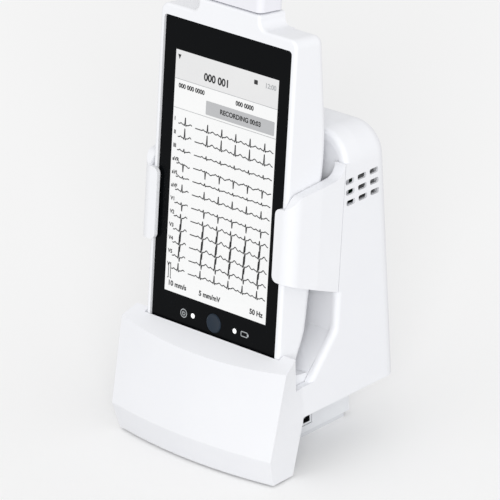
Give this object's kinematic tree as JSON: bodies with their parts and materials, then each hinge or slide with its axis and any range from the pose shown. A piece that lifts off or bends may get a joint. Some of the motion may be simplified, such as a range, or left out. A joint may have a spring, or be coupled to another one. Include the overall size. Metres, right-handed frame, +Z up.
{
  "type": "portable ECG recorder in a desktop charging dock",
  "caption": "Handheld heart recorder with a tall touch screen and a top socket for patient leads, leaning in a white desktop charging dock with side arms.",
  "frame": {"origin": "on the table, under the middle of the dock's outline", "axes": "+Z up, +Y to the rear, +X to the right as seen from the front; the screen faces -Y and up"},
  "size_m": [0.102, 0.089, 0.2181],
  "materials": {
    "white_plastic": "satin moulded, cool white",
    "head_plastic": "satin moulded, pale lavender grey",
    "grey_plastic": "satin moulded, light grey",
    "black_glass": "gloss, printed black from behind round the clear display window",
    "display": "lit display behind the glass",
    "gasket_foam": "closed-cell foam",
    "button_plastic": "dark blue, half gloss",
    "clear_plastic": "clear light pipe",
    "board_laminate": "green solder mask",
    "black_plastic": "black moulded",
    "steel": "bright steel",
    "contact_metal": "gold-plated brass",
    "foot_rubber": "matt grey rubber",
    "battery_wrap": "dark shrink wrap"
  },
  "bodies": {
    "dock": {"dock_housing": "white_plastic", "cradle": "white_plastic", "contact_block": "black_plastic", "base_cover": "grey_plastic", "base_screws": "steel", "rubber_feet": "foot_rubber", "ballast_plate": "steel", "dc_inlet": "grey_plastic", "inlet_pin": "contact_metal", "charger_board": "board_laminate", "power_module": "black_plastic"},
    "recorder": {"front_bezel": "white_plastic", "rear_shell": "white_plastic", "battery_door": "white_plastic", "cover_glass": "black_glass", "glass_gasket": "gasket_foam", "display_module": "display", "key_board": "board_laminate", "button_switch": "black_plastic", "light_pipes": "clear_plastic", "main_board": "board_laminate", "input_shield": "steel", "sounder": "black_plastic", "battery_pack": "battery_wrap", "case_screws": "steel", "contact_pads": "contact_metal", "connector_head": "head_plastic", "socket_insulator": "black_plastic", "socket_pins": "contact_metal"},
    "button": {"home_button": "button_plastic"},
    "contacts": {"contact_pins": "contact_metal"}
  },
  "joints": [
    {"name": "recorder_lift", "type": "slide", "parent": "dock", "child": "recorder", "axis": [0, 0.1461, 0.9893], "range_m": [0, 0.17]},
    {"name": "button_press", "type": "slide", "parent": "recorder", "child": "button", "axis": [0, 0.9893, -0.1461], "range_m": [0, 0.0006], "stiffness_N_per_m": 2500, "springref_m": -0.0002},
    {"name": "contacts_press", "type": "slide", "parent": "dock", "child": "contacts", "axis": [0, 0.1461, 0.9893], "range_m": [-0.0009, 0], "stiffness_N_per_m": 900, "springref_m": 0.0003}
  ]
}
